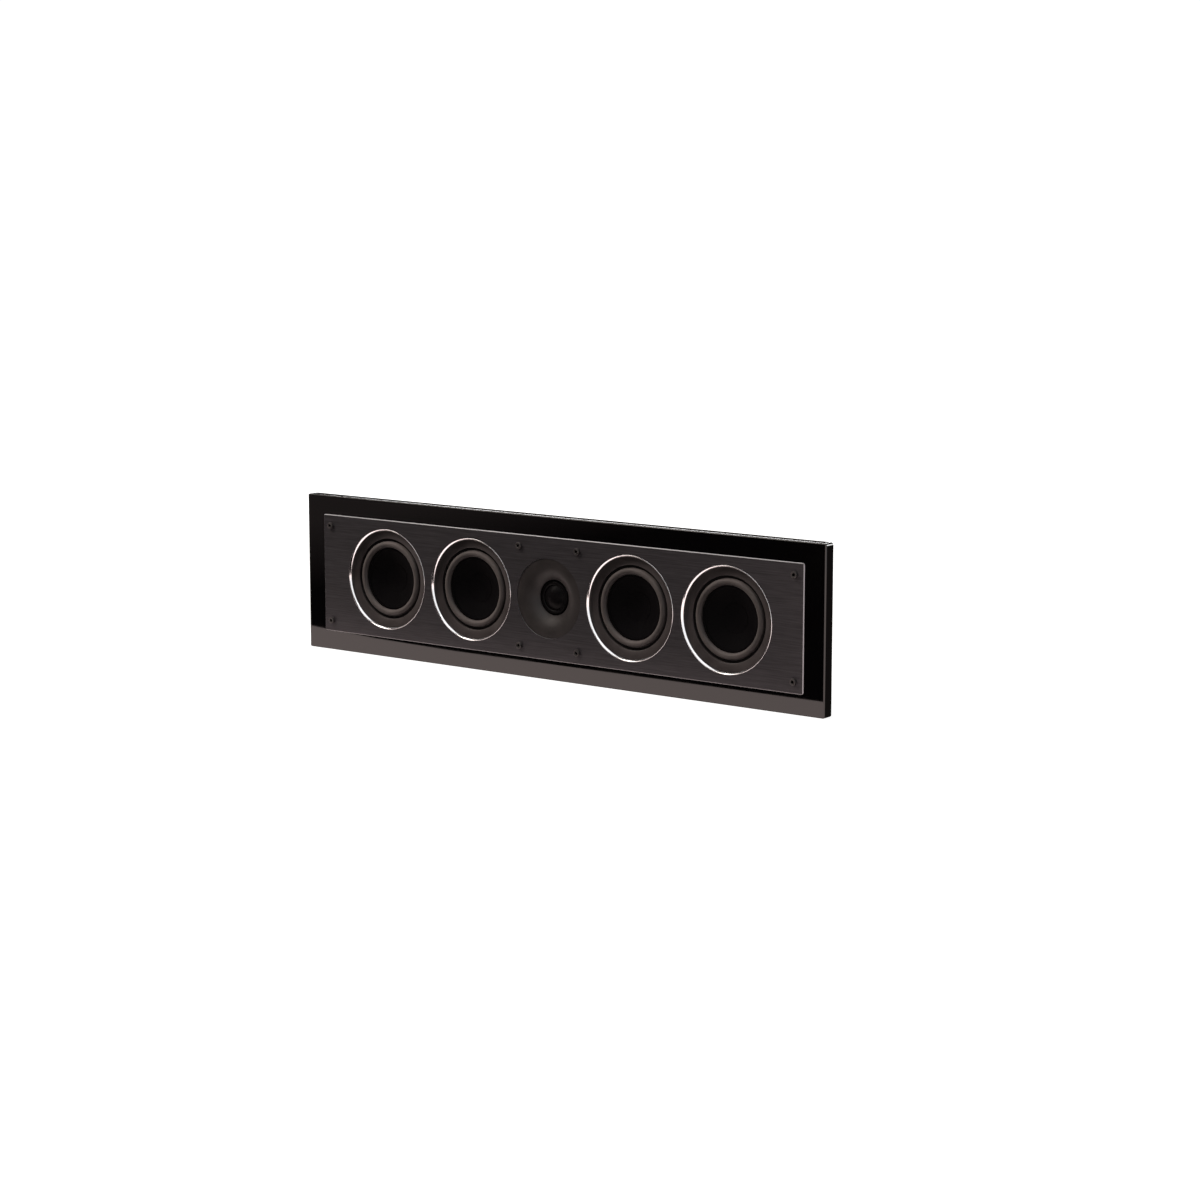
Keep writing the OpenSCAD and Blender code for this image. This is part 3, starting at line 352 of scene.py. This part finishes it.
def coneOut(r):  # how far out the cone's front is: straight, with a slight flare to the rim
    w = woofer
    s = (r - w["coilR"]) / (w["coneR"] - w["coilR"])
    return w["rubberFace"] - w["coneDepth"] * (1 - (1 - w["coneFlare"]) * s
                                               - w["coneFlare"] * s * s)


def makeChromeRing(number, x):
    # small lip just proud of the plate, slightly crowned slope, small rounding at its toe
    w = woofer
    lipR, slopeR, toeRound, (steep, steeper) = w["lipR"], w["slopeR"], w["toeRound"], w["slope"]
    lip = (w["chromeR"] - lipR, plateFace + w["chromeProud"] - lipR)
    slope = tuple(c + (lipR - slopeR) * f for c, f in zip(lip, aimed(steep)))
    toe = tuple(c + (slopeR - toeRound) * f for c, f in zip(slope, aimed(steeper)))
    step = w["chromeToe"] - w["chromeWall"]
    turned("chromeRing%d" % number,
           arc(lip, lipR, 0, steep, 8) + arc(slope, slopeR, steep, steeper, 10)[1:]
           + arc(toe, toeRound, steeper, 180, 4)[1:]
           + [(toe[0] - toeRound, step), (w["chromeR"] - w["chromeWall"], step),
              (w["chromeR"] - w["chromeWall"], w["chromeBack"]),
              (w["chromeR"], w["chromeBack"])],
           x, "chrome_plating", ["woofer_%d_chrome_ring" % number])


def makeTrimRing(number, x):
    w = woofer
    outer, inner, wall = w["chromeToeR"] - w["slack"], w["trimR"], w["trimWall"]
    top, bend, foot = (w["chromeToe"] - w["trimDrop"], w["trimToe"] + w["trimBend"],
                       w["rubberFace"] + w["slack"])
    turned("trimRing%d" % number,
           [(outer, top), (inner + w["trimBend"], bend), (inner, w["trimToe"] + w["trimEdge"]),
            (inner, foot), (inner + wall, foot), (inner + wall, bend - wall),
            (outer, top - wall)],
           x, "trim_plastic", ["woofer_%d_trim_ring" % number], soften=w["trimSoften"])


def makeSurround(number, x):  # half roll with flat lips, and a thin black ring in the groove round it as painted shade
    w = woofer
    face, thick, mid, section = w["rubberFace"], w["rubber"], w["rollR"], w["rollSection"]
    inner = mid - section
    stands = ["woofer_%d_surround" % number]
    turned("rubberRoll%d" % number,
           [(w["rubberOuter"], face)] + arc((mid, face), section, 0, 180, 28)
           + [(inner, face - thick), (inner - w["lip"], face - thick),
              (inner - w["lip"], face - 2 * thick), (inner + thick, face - 2 * thick)]
           + arc((mid, face), section - thick, 180, 0, 28)
           + [(mid + section - thick, face - thick), (w["rubberOuter"], face - thick)],
           x, "surround_rubber", stands)
    # painted shade: a thin matt black ring laid on the rubber in the groove, standing in for the
    # shade of the trim and roll
    inside, outside = mid + section + w["shadeRingGap"], w["trimR"] - w["shadeRingSlack"]
    top = face + w["shadeRingHeight"]
    turned("grooveShadeRing%d" % number,
           [(inside, face), (outside, face), (outside, top), (inside + w["shadeRingSlope"], top)],
           x, "pad_rubber", stands)


def makeCone(number, x):
    w = woofer
    rim, face, wall = w["coneR"], w["rubberFace"], w["coneWall"]
    radii = evenly(w["coilR"] + w["coneStart"], rim - w["coneEnd"], 24)
    turned("cone%d" % number,
           [(r, coneOut(r)) for r in radii]
           + [(rim - w["coneRim"], face), (rim, face), (rim, face - wall),
              (rim - w["coneRimBack"], face - wall)]
           + [(r + w["coneLean"] * wall, coneOut(r) - wall) for r in reversed(radii)],
           x, "cone_paper", ["woofer_%d_cone" % number])


def makeDustCap(number, x):  # part of a sphere, dipped inwards
    w = woofer
    capR, wall = w["coilR"] + w["capOverlap"], w["capWall"]
    sphereR = (capR ** 2 + w["capDip"] ** 2) / (2 * w["capDip"])
    middle = (0, coneOut(capR) + wall - w["capDip"] + sphereR)
    edgeR = capR - w["capEdge"]
    reach, backReach = (math.degrees(math.asin(edgeR / r)) for r in (sphereR, sphereR + wall))
    turned("dustCap%d" % number,
           arc(middle, sphereR, -90, -90 + reach, 16)
           + arc(middle, sphereR + wall, -90 + backReach, -90, 16),
           x, "cone_paper", ["woofer_%d_dust_cap" % number])


for number, x in enumerate(woofer["places"], 1):
    for makePart in (makeChromeRing, makeTrimRing, makeSurround, makeCone, makeDustCap):
        makePart(number, x)
print("woofers done")

tweeter = {
    "rimR": 43.9, "rimBack": 47.4, "rimFlat": 1.2, "throatR": 19.8, "depth": 10.4, "curl": 2.9,
    "wall": 2, "throatWall": 1.6, "face": 50.6, "seatR": 38.25, "seat": 39.2, "soften": 0.15,
    "fall": 0.001,  # mm per step, so that no two points of the flat back lie level
    "domeR": 14, "domeH": 5.2, "cloth": 0.4, "rollR": 2.2, "flangeR": 22.6,
    "rollEnds": (170, 8, 172),  # degrees: front from and to, back to
}


def guideOut(r):  # how far out the waveguide's face is at a radius
    t = tweeter
    share = max(0, 1 - (r - t["throatR"]) / (t["rimR"] - t["throatR"]))
    return t["face"] - t["depth"] * share ** t["curl"]


def makeWaveguide():
    t = tweeter
    throat, back = t["throatR"], t["rimBack"]
    turned("waveguideHorn",
           [(r, guideOut(r)) for r in evenly(throat, t["rimR"] - t["rimFlat"], 48)]
           + [(t["rimR"], t["face"]), (t["rimR"], back), (t["seatR"], back)]
           + [(r, min(back, guideOut(r) - t["wall"]) - t["fall"] * i)
              for i, r in enumerate(evenly(t["seatR"], throat + t["throatWall"], 24))]
           + [(throat + t["throatWall"], t["seat"]), (throat, t["seat"])],
           0, "waveguide_plastic", ["waveguide"], steps=240, soften=t["soften"], softenFrom=30)


def makeDome():
    t = tweeter
    cloth, seat, rollR = t["cloth"], t["seat"], t["rollR"]
    sphereR = (t["domeR"] ** 2 + t["domeH"] ** 2) / (2 * t["domeH"])
    reach = math.degrees(math.asin(t["domeR"] / sphereR))
    mid = t["domeR"] + rollR - cloth / 2
    middle, rollMiddle = (0, seat + t["domeH"] - sphereR), (mid, seat - cloth / 2)
    inside, outside, insideBack = t["rollEnds"]
    turned("silkDome",
           arc(middle, sphereR, 90, 90 - reach, 24)
           + arc(rollMiddle, rollR, inside, outside, 16)
           + [(t["flangeR"], seat), (t["flangeR"], seat - cloth),
              (mid + rollR - cloth, seat - cloth)]
           + arc(rollMiddle, rollR - cloth, outside, insideBack, 16)
           + arc(middle, sphereR - cloth, 90 - reach, 90, 24),
           0, "dome_cloth", ["tweeter_dome"], steps=120)


makeWaveguide()
makeDome()
print("tweeter done")

sockets = {
    "acrossOuter": 640, "acrossInner": 80.4, "apart": 110.6, "tip": 54, "foot": 51.2,
    "outerR": 3.7, "holeR": 1.8, "rimR": 0.55, "holeEdge": 0.4, "holeFloor": 42.2,
    "stemR": 2.6, "stemEnd": 41.4, "steps": 48,
}


def makeSockets():
    t = sockets
    edge, rim = t["holeEdge"], t["rimR"]
    outline = ([(0, t["stemEnd"]), (t["stemR"], t["stemEnd"]), (t["stemR"], t["foot"]),
                (t["outerR"], t["foot"])]
               + arc((t["outerR"] - rim, t["tip"] - rim), rim, 0, 90, 5)
               + arc((t["holeR"] + edge, t["tip"] - edge), edge, 90, 180, 3)
               + [(t["holeR"], t["holeFloor"]), (0, t["holeFloor"])])
    mesh = bmesh.new()
    for across in (t["acrossOuter"], t["acrossInner"]):
        for x, z in ((sx * across / 2, sz * t["apart"] / 2) for sx in (-1, 1) for sz in (-1, 1)):
            ends = [mesh.verts.new(((x + r) * mm, -out * mm, z * mm)) for r, out in outline]
            sides = [mesh.edges.new(pair) for pair in zip(ends, ends[1:])]
            bmesh.ops.spin(mesh, geom=ends + sides, cent=(x * mm, 0, z * mm), axis=(0, 1, 0),
                           angle=fullTurn, steps=t["steps"], use_merge=True)
    bmesh.ops.remove_doubles(mesh, verts=mesh.verts, dist=0.001 * mm)
    bmesh.ops.recalc_face_normals(mesh, faces=mesh.faces)
    finishPiece("socketCollars", mesh, "socket_rubber", ["grille_sockets"])


makeSockets()
print("sockets done")

studio = {
    "floorZ": -0.09, "floorSize": 14, "floor": "#7c7b7a",
    # the paper's own light: distance in m and strength, near and far
    "glow": (0.5, 0.87, 1.6, 1.06),
    "surround": "#8a827c", "inGloss": 0.2, "inShade": 0.1, "backdrop": 1.06,
    # lights: place in m, size in m, power in W, colour
    "key": ((-2.0, -1.5, 2.45), (0.8, 0.8), 150, "#fff6ec"),
    "top": ((0.6, -0.9, 2.2), (2.6, 2.0), 20, "#ffffff"),
    "rearLeft": ((-1.7, 2.2, 1.3), (1.4, 1.2), 75, "#ffffff"),
    "rearRight": ((1.9, 2.0, 0.9), (1.2, 1.2), 45, "#ffffff"),
    # what reflections see in the key light's place: half its size in m, and strength
    "keyCard": (0.85, 4.0),
    # cards on the floor that only reflections see: height above it, then x and y in m
    "sweep": "#ffebe6", "sweepLight": 1.75, "dimLight": 0.05,
    "brightCard": (0.0005, (-1.6, -0.05), (-1.6, -0.5), (-0.4, -1.7), (1.34, -1.7),
                   (1.34, -0.05)),
    "darkCard": (0.001, (-1.4, -0.33), (-0.6, -0.181), (-0.455, -0.153), (-0.33, -0.132),
                 (-0.2, -0.1225), (0.33, -0.1225), (-0.55, -1.5), (-2.4, -1.5)),
    "darkFade": (0.16, 0.0, -1.15, -0.65),  # strength at two places along x
    "sideCard": (0.001, (0.41, -0.05), (3, -0.05), (3, 3), (0.41, 3)),
    # upright white card to the right of the camera
    "rightCard": ((1.35, -2.0), (1.35, 0.05)), "rightCardTop": 2.2, "rightLight": 1.2,
}


def makeCard(name, corners, material, onlyReflected=True):
    mesh = bmesh.new()
    bmesh.ops.contextual_create(mesh, geom=[mesh.verts.new(corner) for corner in corners])
    data = bpy.data.meshes.new(name)
    bmesh.ops.recalc_face_normals(mesh, faces=mesh.faces)
    mesh.to_mesh(data)
    mesh.free()
    data.materials.append(material)
    card = bpy.data.objects.new(name, data)
    scene.collection.objects.link(card)
    if onlyReflected:
        card.visible_camera = card.visible_diffuse = card.visible_shadow = False
    return card


def glowing(name, colour, strength=0.0):  # scatters nothing, and only gives off light
    return newMaterial(name, {"Base Color": "#000000", "Roughness": 1.0,
                              "Specular IOR Level": 0.0, "Emission Color": colour,
                              "Emission Strength": strength})


def makeFloor():
    # matt paper that gives off a little light of its own, seen by the camera alone
    half, ground = studio["floorSize"] / 2, studio["floorZ"]
    paper, tree, shader, place = newMaterial(
        "paperSweep", {"Base Color": studio["floor"], "Roughness": 0.9,
                       "Specular IOR Level": 0.1, "Emission Color": "#ffffff"})
    near, nearGlow, far, farGlow = studio["glow"]
    distance = addNode(tree, "ShaderNodeVectorMath", {0: place},
                       operation="LENGTH").outputs["Value"]
    glow = spread(tree, distance, nearGlow, farGlow, near, far)
    seen = addNode(tree, "ShaderNodeLightPath").outputs["Is Camera Ray"]
    lit = addNode(tree, "ShaderNodeMath", {0: glow, 1: seen}, operation="MULTIPLY").outputs[0]
    connect(tree, shader, Emission_Strength=lit)
    floor = makeCard("floor", [(x, y, ground) for x, y in
                               ((-half, -half), (half, -half), (half, half), (-half, half))],
                     paper, onlyReflected=False)
    floor.visible_diffuse = floor.visible_glossy = False


def makeCards():
    ground = studio["floorZ"]
    grey = glowing("greyVelvet", studio["sweep"], studio["dimLight"])[0]
    dark, tree, shader, place = glowing("blackVelvet", studio["sweep"])
    along = addNode(tree, "ShaderNodeSeparateXYZ", {0: place}).outputs["X"]
    connect(tree, shader, Emission_Strength=spread(tree, along, *studio["darkFade"]))
    bright = glowing("litPaper", studio["sweep"], studio["sweepLight"])[0]
    for name, material in (("brightCard", bright), ("darkCard", dark), ("sideCard", grey)):
        height, *corners = studio[name]
        makeCard(name, [(x, y, ground + height) for x, y in corners], material)
    (x0, y0), (x1, y1) = studio["rightCard"]
    top = studio["rightCardTop"]
    makeCard("rightCard", [(x0, y0, ground), (x1, y1, ground), (x1, y1, top), (x0, y0, top)],
             glowing("whiteReflector", "#ffffff", studio["rightLight"])[0])
    keyPlace, keyColour = Vector(studio["key"][0]), studio["key"][3]
    half, strength = studio["keyCard"]
    towards = (-keyPlace).to_track_quat("-Z", "Y").to_matrix()
    makeCard("keyCard", [towards @ Vector((sx * half, sy * half, 0)) + keyPlace
                         for sx, sy in ((-1, -1), (1, -1), (1, 1), (-1, 1))],
             glowing("keyDiffuser", keyColour, strength)[0])


def makeWorld():  # white to the camera, dim to everything else
    world = bpy.data.worlds.new("studio")
    scene.world = world
    world.use_nodes = True
    tree = world.node_tree
    tree.nodes.clear()
    path = addNode(tree, "ShaderNodeLightPath")
    strength = addNode(tree, "ShaderNodeMix",
                       {0: path.outputs["Is Glossy Ray"], 2: studio["inShade"],
                        3: studio["inGloss"]}).outputs[0]
    dim = addNode(tree, "ShaderNodeBackground", {"Color": toLinear(studio["surround"]),
                                                 "Strength": strength})
    white = addNode(tree, "ShaderNodeBackground", {"Color": (1, 1, 1, 1),
                                                   "Strength": studio["backdrop"]})
    both = addNode(tree, "ShaderNodeMixShader",
                   {0: path.outputs["Is Camera Ray"], 1: dim.outputs[0], 2: white.outputs[0]})
    addNode(tree, "ShaderNodeOutputWorld", {"Surface": both.outputs[0]})


def makeLights():
    for name in ("key", "top", "rearLeft", "rearRight"):
        place, size, power, colour = studio[name]
        light = bpy.data.lights.new(name, "AREA")
        light.shape, light.size, light.size_y = "RECTANGLE", size[0], size[1]
        light.energy, light.color = power, toLinear(colour)[:3]
        lamp = bpy.data.objects.new(name, light)
        lamp.location = place
        lamp.rotation_euler = (-Vector(place)).to_track_quat("-Z", "Y").to_euler()
        lamp.visible_glossy = name != "key"
        scene.collection.objects.link(lamp)


makeFloor()
makeCards()
makeWorld()
makeLights()
print("stage done")
